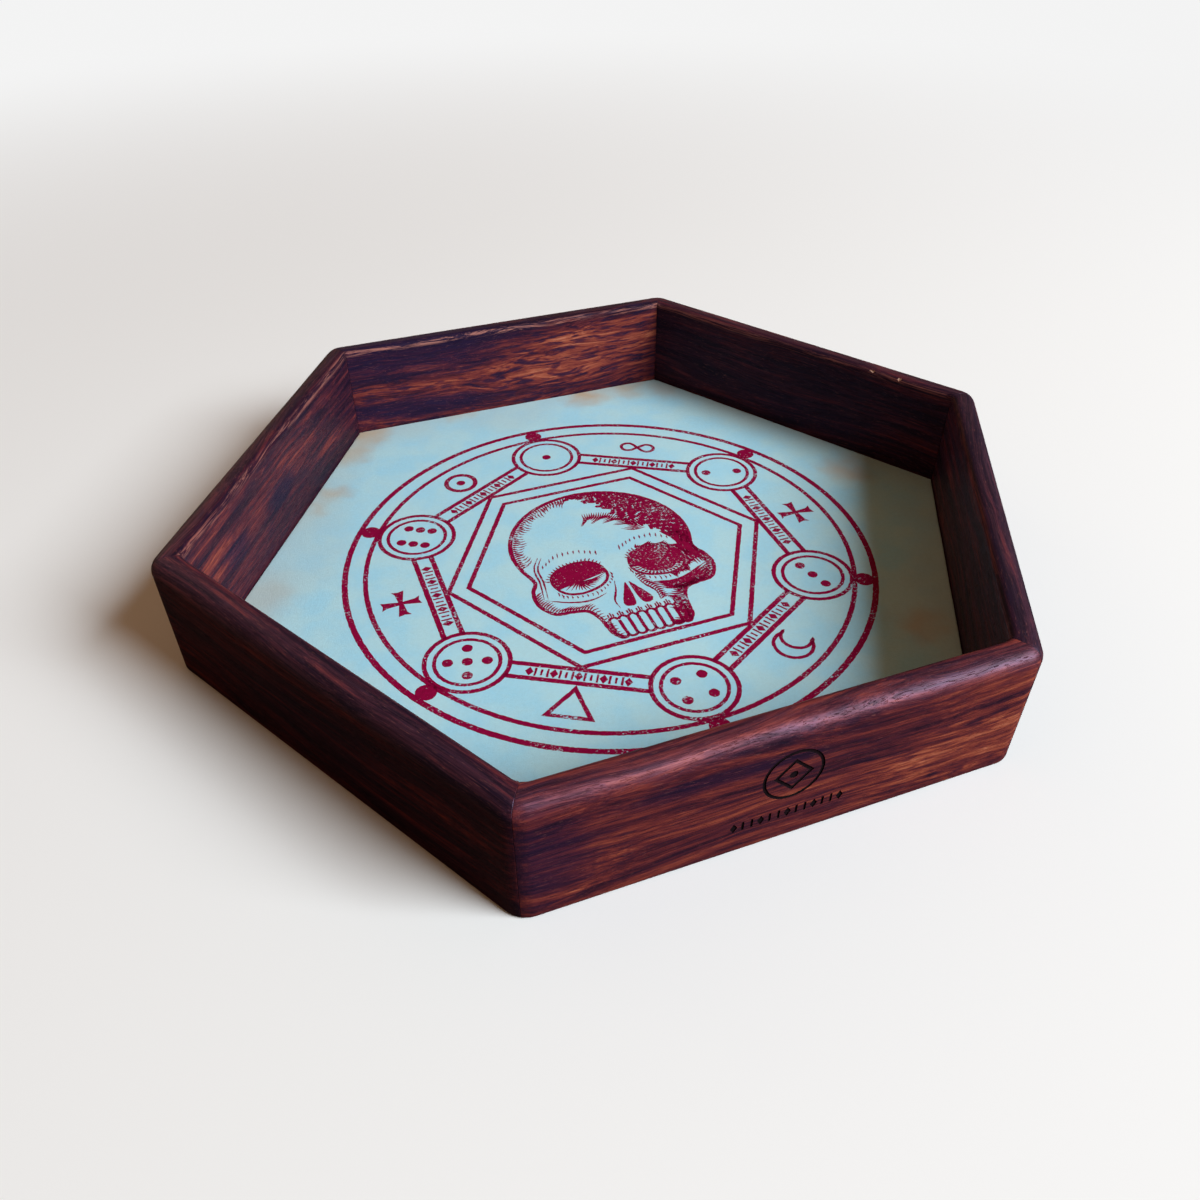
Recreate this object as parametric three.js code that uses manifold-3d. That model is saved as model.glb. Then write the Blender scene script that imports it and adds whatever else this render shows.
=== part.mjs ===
// Hexagonal hardwood dice tray. Six mitred rails stand around a thin base panel, which is let into a
// rebate under their inner faces. A printed mat lies on the panel and makes the floor of the well.
// Each mitre holds a hidden loose spline.
//
// Millimetres, +Z up. The origin is the centre of the footprint, on the plane the tray stands on.
// The hexagon has two corners on the X axis, and the front rail faces -Y.
import * as THREE from "three";
import { mergeVertices } from "three/addons/utils/BufferGeometryUtils.js";
import Module from "manifold-3d";

// Driving dimensions.
const ACROSS_CORNERS = 260; // between opposite corners, before they are rounded
const HEIGHT = 37;
const WALL = 8;
const WELL_DEPTH = 32.2; // from the rim down to the mat
const BASE_THICKNESS = 3;
const MAT_THICKNESS = 1.5;

// Edges. The rim is rounded on both sides, the outer side more.
const CORNER_ROUND = 7; // upright outer corners
const OUTER_ROUND = 4; // outer edge of the rim
const INNER_ROUND = 2; // inner edge of the rim
const BEARING_RADIUS = 4; // guide bearing of the cutter that rounded the rim's inner edge
const FOOT_CHAMFER = 0.8; // outer edge of the foot

// Joinery.
const REBATE = 4; // how far the base panel reaches in under the wall
const BASE_CLEARANCE = 0.2;
const MAT_CLEARANCE = 0.25;
const GLUE_LINE = 0.1; // between the two faces of a mitre
const SPLINE_THICKNESS = 2; // along the mitre
const SPLINE_WIDTH = 5.6; // across the mitre
const SPLINE_HEIGHT = 23;
const SPLINE_CHAMFER = 0.4;
const SPLINE_REACH = 124.1; // from the tray's axis to the middle of the spline
const SLOT_CLEARANCE = 0.15;

// How finely the round edges are cut into facets.
const CORNER_STEPS = 8;
const OUTER_STEPS = 8;
const INNER_STEPS = 6;

// Worked out from the dimensions above.
const SIDES = 6;
const SECTOR = (2 * Math.PI) / SIDES;
const HALF_SECTOR = SECTOR / 2;
const OUTER_APOTHEM = (ACROSS_CORNERS / 2) * Math.cos(HALF_SECTOR);
const INNER_APOTHEM = OUTER_APOTHEM - WALL;
const MAT_TOP = HEIGHT - WELL_DEPTH;
const BASE_TOP = MAT_TOP - MAT_THICKNESS;
const BASE_UNDERSIDE = BASE_TOP - BASE_THICKNESS;
const SPLINE_MIDDLE = (BASE_TOP + HEIGHT - OUTER_ROUND) / 2;
const BEYOND = 1; // how far a cutter runs past the face it opens

const wasm = await Module();
wasm.setup();

// A closed three.js geometry as a manifold-3d solid.
function solid(geometry) {
  const bare = geometry.clone();
  for (const name of ["normal", "uv"]) bare.deleteAttribute(name);
  const merged = mergeVertices(bare, 1e-4);
  return new wasm.Manifold(
    new wasm.Mesh({
      numProp: 3,
      vertProperties: new Float32Array(merged.attributes.position.array),
      triVerts: new Uint32Array(merged.index.array),
    }),
  );
}

// A manifold-3d solid as a three.js geometry.
function geometryOf(made) {
  const mesh = made.getMesh();
  const geometry = new THREE.BufferGeometry();
  geometry.setAttribute("position", new THREE.BufferAttribute(mesh.vertProperties, 3));
  geometry.setIndex(new THREE.BufferAttribute(mesh.triVerts, 1));
  geometry.computeVertexNormals();
  return geometry;
}

// Plan outline of a regular hexagon with sharp corners, two of them on the X axis.
function sharpHexagon(apothem) {
  const reach = apothem / Math.cos(HALF_SECTOR);
  return Array.from({ length: SIDES }, (_, side) => polar(reach, side * SECTOR));
}

// The same outline with each corner turned by an arc.
function roundHexagon(apothem, radius) {
  const reach = (apothem - radius) / Math.cos(HALF_SECTOR);
  const points = [];
  for (let side = 0; side < SIDES; side++) {
    const centre = polar(reach, side * SECTOR);
    for (let step = 0; step <= CORNER_STEPS; step++) {
      const angle = side * SECTOR - HALF_SECTOR + (SECTOR * step) / CORNER_STEPS;
      points.push(polar(radius, angle).add(centre));
    }
  }
  return points;
}

function polar(radius, angle) {
  return new THREE.Vector2(radius * Math.cos(angle), radius * Math.sin(angle));
}

// A straight prism on a plan outline.
function prism(outline, bottom, top) {
  const geometry = new THREE.ExtrudeGeometry(new THREE.Shape(outline), {
    depth: top - bottom,
    bevelEnabled: false,
  });
  return geometry.translate(0, 0, bottom);
}

// A closed body through outlines of equal point count, listed from the lowest up as { outline, z }.
// The ends are closed by fans from the Z axis, which every outline surrounds.
function loft(levels) {
  const count = levels[0].outline.length;
  const last = levels.length - 1;
  const positions = levels.flatMap(({ outline, z }) => outline.flatMap((p) => [p.x, p.y, z]));
  const bottomMiddle = positions.length / 3;
  const topMiddle = bottomMiddle + 1;
  positions.push(0, 0, levels[0].z, 0, 0, levels[last].z);
  const index = [];
  for (let i = 0; i < count; i++) {
    const next = (i + 1) % count;
    for (let level = 0; level < last; level++) {
      const low = level * count;
      const high = low + count;
      index.push(low + i, low + next, high + next, low + i, high + next, high + i);
    }
    index.push(bottomMiddle, next, i);
    index.push(topMiddle, last * count + i, last * count + next);
  }
  const geometry = new THREE.BufferGeometry();
  geometry.setAttribute("position", new THREE.Float32BufferAttribute(positions, 3));
  geometry.setIndex(index);
  return geometry;
}

// Steps of a quarter round: how far it has moved sideways, and how far it has climbed.
function quarterRound(radius, steps) {
  return Array.from({ length: steps + 1 }, (_, step) => {
    const angle = (step / steps) * (Math.PI / 2);
    return { aside: radius * (1 - Math.cos(angle)), up: radius * Math.sin(angle) };
  });
}

// The outside of the tray as one body: chamfered foot, upright sides and rounded rim.
function outsideBody() {
  const level = (inset, z) => ({
    outline: roundHexagon(OUTER_APOTHEM - inset, CORNER_ROUND - inset),
    z,
  });
  const rim = quarterRound(OUTER_ROUND, OUTER_STEPS).map(({ aside, up }) =>
    level(aside, HEIGHT - OUTER_ROUND + up),
  );
  return solid(loft([level(FOOT_CHAMFER, 0), level(0, FOOT_CHAMFER), ...rim]));
}

// The well, with the rounding of its rim. The cutter's bearing can't reach into the corners, so the
// rounding runs out there in an arc and the upright corners below it stay sharp.
function wellCutter() {
  const level = (outset, z) => ({
    outline: roundHexagon(INNER_APOTHEM + outset, BEARING_RADIUS + outset),
    z,
  });
  const rim = quarterRound(INNER_ROUND, INNER_STEPS).map(({ aside, up }) =>
    level(aside, HEIGHT - INNER_ROUND + up),
  );
  const rounding = solid(loft([...rim, level(INNER_ROUND, HEIGHT + BEYOND)]));
  const hollow = solid(prism(sharpHexagon(INNER_APOTHEM), -BEYOND, HEIGHT + BEYOND));
  return hollow.add(rounding);
}

// The step under the inner faces that takes the base panel.
function rebateCutter() {
  return solid(prism(sharpHexagon(INNER_APOTHEM + REBATE), -BEYOND, BASE_TOP));
}

// A spline with chamfered long edges, centred on its own origin and standing upright.
function splineGeometry(clearance) {
  const halfThickness = SPLINE_THICKNESS / 2 + clearance;
  const halfWidth = SPLINE_WIDTH / 2 + clearance;
  const halfHeight = SPLINE_HEIGHT / 2 + clearance;
  const shape = new THREE.Shape([
    new THREE.Vector2(halfThickness, -halfWidth + SPLINE_CHAMFER),
    new THREE.Vector2(halfThickness, halfWidth - SPLINE_CHAMFER),
    new THREE.Vector2(halfThickness - SPLINE_CHAMFER, halfWidth),
    new THREE.Vector2(-halfThickness + SPLINE_CHAMFER, halfWidth),
    new THREE.Vector2(-halfThickness, halfWidth - SPLINE_CHAMFER),
    new THREE.Vector2(-halfThickness, -halfWidth + SPLINE_CHAMFER),
    new THREE.Vector2(-halfThickness + SPLINE_CHAMFER, -halfWidth),
    new THREE.Vector2(halfThickness - SPLINE_CHAMFER, -halfWidth),
  ]);
  const geometry = new THREE.ExtrudeGeometry(shape, { depth: 2 * halfHeight, bevelEnabled: false });
  return geometry.translate(0, 0, -halfHeight);
}

// One rail, in the place of the front one. The wedge leaves it half a glue line short at each end.
function railGeometry() {
  const along = (angle) => polar(ACROSS_CORNERS, angle).add(new THREE.Vector2(0, -GLUE_LINE));
  const ends = [-Math.PI / 2 - HALF_SECTOR, -Math.PI / 2 + HALF_SECTOR];
  const wedge = [new THREE.Vector2(0, -GLUE_LINE), ...ends.map(along)];
  let rail = outsideBody()
    .subtract(wellCutter())
    .subtract(rebateCutter())
    .intersect(solid(prism(wedge, -BEYOND, HEIGHT + BEYOND)));
  for (const angle of ends) {
    const slot = splineGeometry(SLOT_CLEARANCE)
      .translate(SPLINE_REACH, 0, SPLINE_MIDDLE)
      .rotateZ(angle);
    rail = rail.subtract(solid(slot));
  }
  return geometryOf(rail);
}

const railWood = new THREE.MeshStandardMaterial({ color: 0x5c2a20, roughness: 0.45, metalness: 0 });
const splineWood = new THREE.MeshStandardMaterial({ color: 0xa9794d, roughness: 0.7, metalness: 0 });
const plywood = new THREE.MeshStandardMaterial({ color: 0xc9a878, roughness: 0.75, metalness: 0 });
const printedMat = new THREE.MeshStandardMaterial({ color: 0xb4d2d4, roughness: 0.9, metalness: 0 });

// Names go round the tray anticlockwise, seen from above. Rails start from the front, and splines
// from the corner at the front rail's right end.
const RAILS = ["front", "front_right", "back_right", "back", "back_left", "front_left"];
const CORNERS = ["front_right", "right", "back_right", "back_left", "left", "front_left"];

const tray = new THREE.Group();

function place(name, geometry, material, parent = tray) {
  const mesh = new THREE.Mesh(geometry, material);
  mesh.name = name;
  parent.add(mesh);
  return mesh;
}

const rail = railGeometry();
RAILS.forEach((side, turn) => {
  place(`rail_${side}`, rail, railWood).rotation.z = turn * SECTOR;
});

const spline = splineGeometry(0);
CORNERS.forEach((corner, turn) => {
  const mitre = new THREE.Group();
  mitre.rotation.z = -Math.PI / 2 + HALF_SECTOR + turn * SECTOR;
  tray.add(mitre);
  place(`spline_${corner}`, spline, splineWood, mitre).position.set(SPLINE_REACH, 0, SPLINE_MIDDLE);
});

const panel = sharpHexagon(INNER_APOTHEM + REBATE - BASE_CLEARANCE);
place("base_panel", prism(panel, BASE_UNDERSIDE, BASE_TOP), plywood);

const floor = sharpHexagon(INNER_APOTHEM - MAT_CLEARANCE);
place("mat", prism(floor, BASE_TOP, MAT_TOP), printedMat);

export default tray;
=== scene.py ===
"""Looks of a hexagonal hardwood dice tray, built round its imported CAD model.

The six rails and the mat are modelled here in finer detail, in place of their CAD nodes, and the print
on the mat is added. The base panel and the splines keep their CAD meshes. Everything is in the CAD
model's own axes, in metres; flat shapes are drawn in millimetres about the tray's axis.
"""

import math

import bmesh
import bpy
import numpy as np
from mathutils import Matrix, Quaternion, Vector, noise


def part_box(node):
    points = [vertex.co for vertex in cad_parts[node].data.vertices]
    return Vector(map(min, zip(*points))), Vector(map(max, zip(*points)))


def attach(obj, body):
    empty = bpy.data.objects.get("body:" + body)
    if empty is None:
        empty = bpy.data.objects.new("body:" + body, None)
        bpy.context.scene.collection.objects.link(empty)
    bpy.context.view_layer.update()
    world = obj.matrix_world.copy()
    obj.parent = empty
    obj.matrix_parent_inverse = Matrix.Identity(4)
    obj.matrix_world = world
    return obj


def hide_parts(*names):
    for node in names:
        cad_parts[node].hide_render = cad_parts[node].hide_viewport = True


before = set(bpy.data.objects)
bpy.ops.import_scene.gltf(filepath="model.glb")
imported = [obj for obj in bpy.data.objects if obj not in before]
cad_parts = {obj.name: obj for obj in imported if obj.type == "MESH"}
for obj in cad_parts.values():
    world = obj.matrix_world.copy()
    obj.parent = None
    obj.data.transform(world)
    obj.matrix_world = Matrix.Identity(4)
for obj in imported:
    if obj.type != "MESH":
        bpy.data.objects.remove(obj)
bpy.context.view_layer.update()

# Sizes read from the frame.
MM = 0.001
SIDES = 6
SECTOR = math.tau / SIDES
MITRE = SECTOR / 2
RAIL_LOW, RAIL_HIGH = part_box("rail_front")
PANEL_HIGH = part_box("base_panel")[1]
MAT_LOW, MAT_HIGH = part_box("mat")
SPLINE_LOW, SPLINE_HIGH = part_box("spline_right")
HEIGHT = RAIL_HIGH.z
OUTER = -RAIL_LOW.y  # apothem of the outer faces
INNER = -RAIL_HIGH.y  # apothem of the well
REACH = OUTER / math.cos(MITRE)  # circumradius of the outer faces, before the corners are rounded
MAT_TOP = MAT_HIGH.z

# Edge sizes, the same as in the CAD.
CORNER_ROUND = 7 * MM
OUTER_ROUND = 4 * MM
INNER_ROUND = 2 * MM
BEARING_RADIUS = 4 * MM
FOOT_EASE = 0.8 * MM
PANEL_CLEARANCE = 0.2 * MM
SLOT_CLEARANCE = 0.15 * MM

RAILS = ["front", "front_right", "back_right", "back", "back_left", "front_left"]


# ---- meshes


def placed(name, data):
    """An object that shows the data, linked to the scene."""
    obj = bpy.data.objects.new(name, data)
    bpy.context.scene.collection.objects.link(obj)
    return obj


def new_object(name, vertices, faces, material):
    mesh = bpy.data.meshes.new(name)
    mesh.from_pydata([tuple(v) for v in vertices], [], [tuple(f) for f in faces])
    mesh.validate()
    mesh.materials.append(material)
    return placed(name, mesh)


def belt(low, count):
    """Faces between a closed loop of vertices, the first of them numbered low, and the next loop."""
    pairs = [(low + i, low + (i + 1) % count) for i in range(count)]
    return [(a, b, b + count, a + count) for a, b in pairs]


def face_outwards(obj):
    """Turns the faces of a closed mesh so that its volume is positive."""
    mesh = obj.data
    mesh.calc_loop_triangles()
    corners = np.array([t.vertices for t in mesh.loop_triangles])
    points = np.array([v.co for v in mesh.vertices])
    a, b, c = (points[corners[:, i]] for i in range(3))
    if np.einsum("ij,ij->i", a, np.cross(b, c)).sum() < 0:
        mesh.flip_normals()


def shade(obj, angle):
    """Smooth shading, with edges sharper than angle kept sharp."""
    obj.data.shade_smooth()
    obj.data.set_sharp_from_angle(angle=math.radians(angle))


def turned(points, turn):
    """Points of the front rail's place, turned round the tray's axis to another rail's."""
    rotation = np.array(Matrix.Rotation(turn * SECTOR, 3, "Z"))
    return np.asarray(points) @ rotation.T


def quarter(radius, steps):
    """Steps of a quarter round: how far it has moved aside, and how far it has climbed."""
    angles = np.linspace(0, math.pi / 2, steps + 1)
    return [(radius * (1 - math.cos(t)), radius * math.sin(t)) for t in angles]


# ---- rails


STRAIGHT_STATIONS = 62
CORNER_STATIONS = 14
SEAM_EASE = 0.08 * MM  # how far the edge of a mitre is sanded back
SEAM_BAND = 0.14 * MM  # how wide the eased edge is
SEAM_GAP = 0.015 * MM  # how far each rail stops short of the mitre plane


def rail_profile():
    """The section of a rail, from the foot up the outside and down the inside.

    Each point is (apothem, height, plan radius of its corner). A radius of None is a sharp corner.
    """
    outer = []
    for aside, up in quarter(FOOT_EASE, 4):
        outer.append((OUTER - FOOT_EASE + up, aside))
    for z in np.linspace(FOOT_EASE, HEIGHT - OUTER_ROUND, 14)[1:-1]:
        outer.append((OUTER, z))
    for aside, up in quarter(OUTER_ROUND, 12):
        outer.append((OUTER - aside, HEIGHT - OUTER_ROUND + up))
    points = [(a, z, CORNER_ROUND - (OUTER - a)) for a, z in outer]

    for aside, up in reversed(quarter(INNER_ROUND, 9)):
        points.append((INNER + aside, HEIGHT - INNER_ROUND + up, BEARING_RADIUS + aside))
    for z in np.linspace(HEIGHT - INNER_ROUND, MAT_LOW.z, 12)[1:]:
        points.append((INNER, z, None))
    rebate = PANEL_HIGH.y + PANEL_CLEARANCE
    for a in np.linspace(INNER, rebate, 4)[1:]:
        points.append((a, MAT_LOW.z, None))
    points.append((rebate, MAT_LOW.z / 2, None))
    points.append((rebate, 0.0, None))
    points.append(((rebate + OUTER - FOOT_EASE) / 2, 0.0, None))
    return points


def half_path(apothem, radius):
    """Plan path of one profile point, from the middle of the rail to the mitre plane."""
    bend = BEARING_RADIUS if radius is None else radius
    base = INNER if radius is None else apothem
    straight = (base - bend) * math.tan(MITRE)
    end = apothem * math.tan(MITRE)
    path = [(x, apothem) for x in np.linspace(0, straight, STRAIGHT_STATIONS + 1)]
    for share in np.linspace(0, 1, CORNER_STATIONS)[1:]:
        if radius is None:
            x = straight + (end - SEAM_BAND / math.cos(MITRE) - straight) * share
            path.append((x, apothem))
        else:
            angle = (MITRE - SEAM_BAND / bend) * share
            path.append((straight + bend * math.sin(angle), apothem - bend + bend * math.cos(angle)))
    if radius is None:
        path.append((end, apothem))
    else:
        path.append((straight + bend * math.sin(MITRE), apothem - bend + bend * math.cos(MITRE)))
    return np.array(path)


def clear_of_well(path, apothem):
    """The cutter's rounding runs out where it would leave wood standing inside the sharp well."""
    if apothem > INNER + INNER_ROUND + 0.01 * MM:
        return path
    kept = path.copy()
    kept[:, 1] = np.maximum(kept[:, 1], INNER)
    kept[:, 0] = np.minimum(kept[:, 0], kept[:, 1] * math.tan(MITRE))
    kept[-1, 0] = kept[-1, 1] * math.tan(MITRE)
    return kept


def sanding(x, turn):
    """How far hand sanding has worn the rim at a place along a rail."""
    slow = noise.noise(Vector((x * 35, turn * 7.3, 0.4)))
    quick = noise.noise(Vector((x * 160, turn * 3.1, 2.7)))
    return (0.09 * slow + 0.035 * quick) * MM


def rail_mesh(name, turn, material):
    """One rail as a swept section with a mitre at each end, in its own place on the tray."""
    profile = rail_profile()
    halves = [clear_of_well(half_path(a, r), a) for a, _, r in profile]
    plan = np.array([np.vstack([h[:0:-1] * (-1, 1), h]) for h in halves])
    heights = np.array([z for _, z, _ in profile])
    apothems = np.array([a for a, _, _ in profile])
    stations = plan.shape[1]

    grid = np.zeros((stations, len(profile), 3))
    grid[:, :, :2] = plan.transpose(1, 0, 2)
    grid[:, :, 2] = heights

    # The rim, a little uneven from sanding.
    rim = np.clip((heights - (HEIGHT - OUTER_ROUND)) / OUTER_ROUND, 0, 1)
    outside = np.clip((apothems - (OUTER - OUTER_ROUND)) / OUTER_ROUND, 0, 1)
    for station in range(stations):
        worn = sanding(grid[station, 0, 0], turn) + 0.12 * MM
        bend = 1 - (np.abs(station - (stations - 1) / 2) / ((stations - 1) / 2)) ** 12
        grid[station, :, 2] -= worn * bend * rim * outside
        grid[station, :, 1] -= worn * bend * rim * outside

    # Each end stops just short of the mitre plane, with its edge eased.
    for end, side in ((0, -1), (stations - 1, 1)):
        out = np.array([side * math.cos(MITRE), -math.sin(MITRE), 0])
        ideal = grid[end].copy()
        along = np.array([side * math.sin(MITRE), math.cos(MITRE), 0])
        flat = np.stack([ideal @ along, ideal[:, 2]], 1)
        inward = loop_normals(flat)
        eased = ideal + SEAM_EASE * (inward[:, :1] * along + inward[:, 1:] * (0, 0, 1))
        grid[end] = eased - out * SEAM_GAP

    points = grid.reshape(-1, 3) * (1, -1, 1)
    count = len(profile)
    faces = []
    for station in range(stations - 1):
        faces += belt(station * count, count)
    faces.append(range(count)[::-1])
    faces.append(range((stations - 1) * count, stations * count))
    return new_object(name, turned(points, turn), faces, material)


def loop_normals(loop):
    """Unit normals of a closed 2-D loop's points, pointing into it."""
    forward = np.roll(loop, -1, 0) - np.roll(loop, 1, 0)
    normal = np.stack([-forward[:, 1], forward[:, 0]], 1)
    normal /= np.linalg.norm(normal, axis=1)[:, None]
    x, y = loop[:, 0], loop[:, 1]
    area = np.sum(x * np.roll(y, -1) - np.roll(x, -1) * y)
    return normal if area > 0 else -normal


# ---- flat drawing


class Drawing:
    """Closed flat solids drawn in the plane, in millimetres: strokes and filled patches.

    Every corner is kept as (u, v, level), where level 0 is the underside and 1 the upper side.
    """

    def __init__(self, roughness=0.0):
        self.corners = []
        self.faces = []
        self.roughness = roughness

    def ragged(self, point, channel):
        """A small sideways wander of an edge, in millimetres."""
        return self.roughness * noise.noise(Vector((point[0] * 1.9, point[1] * 1.9, channel)))

    def stroke(self, points, width, closed=False, taper=0.0):
        """A line of the given width. Taper is the share of its length that narrows at each end."""
        points = np.asarray(points, float)
        before = np.roll(points, 1, 0)
        after = np.roll(points, -1, 0)
        if not closed:
            before[0] = points[0]
            after[-1] = points[-1]
        normals = np.zeros_like(points)
        for i, point in enumerate(points):
            ahead = after[i] - point
            behind = point - before[i]
            sides = [np.array([-d[1], d[0]]) / np.linalg.norm(d) for d in (behind, ahead) if np.any(d)]
            normal = sum(sides) / len(sides)
            normals[i] = normal / max(np.dot(normal, normal), 0.25)
        first = len(self.corners)
        count = len(points)
        for i, (point, normal) in enumerate(zip(points, normals)):
            half = width / 2
            if taper:
                share = i / (count - 1)
                half *= min(1.0, share / taper + 0.12, (1 - share) / taper + 0.12)
            left = point + normal * (half + self.ragged(point, 0.3))
            right = point - normal * (half + self.ragged(point, 5.1))
            for side in (left, right):
                self.corners.append((*side, 0))
                self.corners.append((*side, 1))
        steps = count if closed else count - 1
        for i in range(steps):
            a = first + 4 * i
            b = first + 4 * ((i + 1) % count)
            self.faces.append((a + 1, a + 3, b + 3, b + 1))
            self.faces.append((a, b, b + 2, a + 2))
            self.faces.append((a, a + 1, b + 1, b))
            self.faces.append((a + 2, b + 2, b + 3, a + 3))
        if not closed:
            end = first + 4 * (count - 1)
            self.faces.append((first, first + 2, first + 3, first + 1))
            self.faces.append((end, end + 1, end + 3, end + 2))

    def loop(self, points, width):
        self.stroke(points, width, closed=True)

    def patch(self, outline):
        """A filled shape. Its outline isn't closed by a repeated point."""
        outline = np.asarray(outline, float)
        ahead = np.roll(outline, -1, 0)
        if np.sum(outline[:, 0] * ahead[:, 1] - outline[:, 1] * ahead[:, 0]) < 0:
            outline = outline[::-1]
        first = len(self.corners)
        count = len(outline)
        for point in outline:
            rough = point + (self.ragged(point, 1.7), self.ragged(point, 8.9))
            self.corners.append((*rough, 0))
            self.corners.append((*rough, 1))
        self.faces.append([first + 2 * i + 1 for i in range(count)])
        self.faces.append([first + 2 * i for i in reversed(range(count))])
        for i in range(count):
            a = first + 2 * i
            b = first + 2 * ((i + 1) % count)
            self.faces.append((a, b, b + 1, a + 1))

    def build(self, name, place, material):
        """The drawing as a mesh object, with place(u, v, level) giving each corner's position."""
        vertices = [place(u * MM, v * MM, level) for u, v, level in self.corners]
        return new_object(name, vertices, self.faces, material)


def polar(radius, angle):
    return np.array([radius * math.cos(angle), radius * math.sin(angle)])


def arc(centre, radius, start, stop, spacing=0.9):
    """Points along an arc, with angles in degrees. Radius may be a pair for an ellipse."""
    rx, ry = radius if isinstance(radius, tuple) else (radius, radius)
    steps = max(8, round(math.radians(abs(stop - start)) * max(rx, ry) / spacing))
    angles = np.radians(np.linspace(start, stop, steps + 1))
    return np.stack([centre[0] + rx * np.cos(angles), centre[1] + ry * np.sin(angles)], 1)


def circle(centre, radius, spacing=0.9):
    return arc(centre, radius, 0, 360, spacing)[:-1]


def along(corners, spacing=1.0, closed=False):
    """Points along straight lines from corner to corner, keeping the corners."""
    corners = [np.asarray(c, float) for c in corners]
    pairs = list(zip(corners, corners[1:] + corners[:1]))
    points = []
    for a, b in pairs if closed else pairs[:-1]:
        steps = max(1, round(np.linalg.norm(b - a) / spacing))
        points += [a + (b - a) * i / steps for i in range(steps)]
    return points if closed else points + [corners[-1]]


def curve_through(knots, closed=False, steps=8):
    """A smooth Catmull-Rom curve through the knots."""
    knots = np.asarray(knots, float)
    if closed:
        padded = np.vstack([knots[-1:], knots, knots[:2]])
    else:
        padded = np.vstack([2 * knots[:1] - knots[1:2], knots, 2 * knots[-1:] - knots[-2:-1]])
    points = []
    for p0, p1, p2, p3 in zip(padded, padded[1:], padded[2:], padded[3:]):
        for t in np.arange(steps) / steps:
            cubic = (3 * (p1 - p2) + p3 - p0) * t**3
            square = (2 * p0 - 5 * p1 + 4 * p2 - p3) * t**2
            points.append(p1 + 0.5 * (cubic + square + (p2 - p0) * t))
    if not closed:
        points.append(knots[-1])
    return np.array(points)


def moved(points, centre, angle):
    """Points drawn about the origin, turned and then moved to a centre."""
    c, s = math.cos(angle), math.sin(angle)
    return np.asarray(points) @ np.array([[c, s], [-s, c]]) + centre


def spread(points, count):
    """The same line, with its points set anew at equal distances."""
    points = np.asarray(points, float)
    lengths = np.linalg.norm(np.diff(points, axis=0), axis=1)
    travelled = np.concatenate([[0], np.cumsum(lengths)])
    places = np.linspace(0, travelled[-1], count)
    return np.stack([np.interp(places, travelled, points[:, i]) for i in (0, 1)], 1)


def hatch(ink, starts, ends, count, width, bow=0.0, fade=0.3):
    """Engraver's strokes from one line to another, bowed sideways, and some shorter than others."""
    pairs = zip(spread(starts, count), spread(ends, count))
    for place, (start, end) in enumerate(pairs):
        end = end + (start - end) * fade * abs(math.sin(place * 2.7))
        across = np.array([start[1] - end[1], end[0] - start[0]])
        middle = (start + end) / 2 + across * bow
        ink.stroke(curve_through([start, middle, end], steps=4), width, taper=0.5)


# ---- mat


MAT_RINGS = 74
MAT_EDGE = 0.45 * MM  # rounding of the cut edge
MAT_APOTHEM = MAT_HIGH.y


def mat_height(x, y):
    """Height of the mat's upper face: nearly flat, and slightly lifted along its edge."""
    normals = [polar(1, MITRE + side * SECTOR) for side in range(SIDES)]
    to_edge = MAT_APOTHEM - max(x * n[0] + y * n[1] for n in normals)
    lift = max(0.0, 1 - to_edge / (5 * MM)) ** 2
    wave = noise.noise(Vector((x * 22, y * 22, 3.3)))
    ripple = noise.noise(Vector((x * 60, y * 60, 9.1)))
    return MAT_TOP + (-0.13 + 0.035 * wave + 0.08 * lift * (0.6 + ripple)) * MM


def mat_mesh(material):
    """The mat as a hexagonal net of triangles, with a soft cut edge and a flat underside."""
    reach = (MAT_APOTHEM - MAT_EDGE) / math.cos(MITRE)
    corners = [polar(reach, side * SECTOR) for side in range(SIDES)]
    plan = [np.zeros(2)]
    for ring in range(1, MAT_RINGS + 1):
        for side in range(SIDES):
            start = corners[side] * ring / MAT_RINGS
            step = (corners[(side + 1) % SIDES] - corners[side]) / MAT_RINGS
            plan += [start + step * j for j in range(ring)]

    def index(ring, side, j):
        if ring == 0:
            return 0
        if j == ring:
            side, j = side + 1, 0
        return 1 + 3 * ring * (ring - 1) + (side % SIDES) * ring + j

    vertices = [(p[0], p[1], mat_height(*p)) for p in plan]
    faces = []
    for ring in range(1, MAT_RINGS + 1):
        for side in range(SIDES):
            for j in range(ring):
                outer = index(ring, side, j), index(ring, side, j + 1)
                faces.append((*outer, index(ring - 1, side, j)))
                if j < ring - 1:
                    inner = index(ring - 1, side, j + 1), index(ring - 1, side, j)
                    faces.append((outer[1], *inner))

    # The rim goes out over the rounded edge and down to the panel.
    count = SIDES * MAT_RINGS
    rim = plan[-count:]
    levels = [(MAT_EDGE - aside, up - MAT_EDGE) for aside, up in reversed(quarter(MAT_EDGE, 5))][1:]
    levels.append((MAT_EDGE, None))
    for outset, drop in levels:
        for p in rim:
            wander = 0.1 * MM * noise.noise(Vector((p[0] * 90, p[1] * 90, 6.6)))
            grown = p * (1 + (outset + wander * outset / MAT_EDGE) / (MAT_APOTHEM - MAT_EDGE))
            z = MAT_LOW.z if drop is None else mat_height(*p) + drop
            vertices.append((*grown, z))
    first = 1 + 3 * MAT_RINGS * (MAT_RINGS - 1)
    for level in range(len(levels)):
        faces += [(a, d, c, b) for a, b, c, d in belt(first + level * count, count)]
    bottom = first + len(levels) * count
    faces.append([bottom + i for i in reversed(range(count))])
    return new_object("mat_sheet", vertices, faces, material)


# ---- print on the mat


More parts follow.
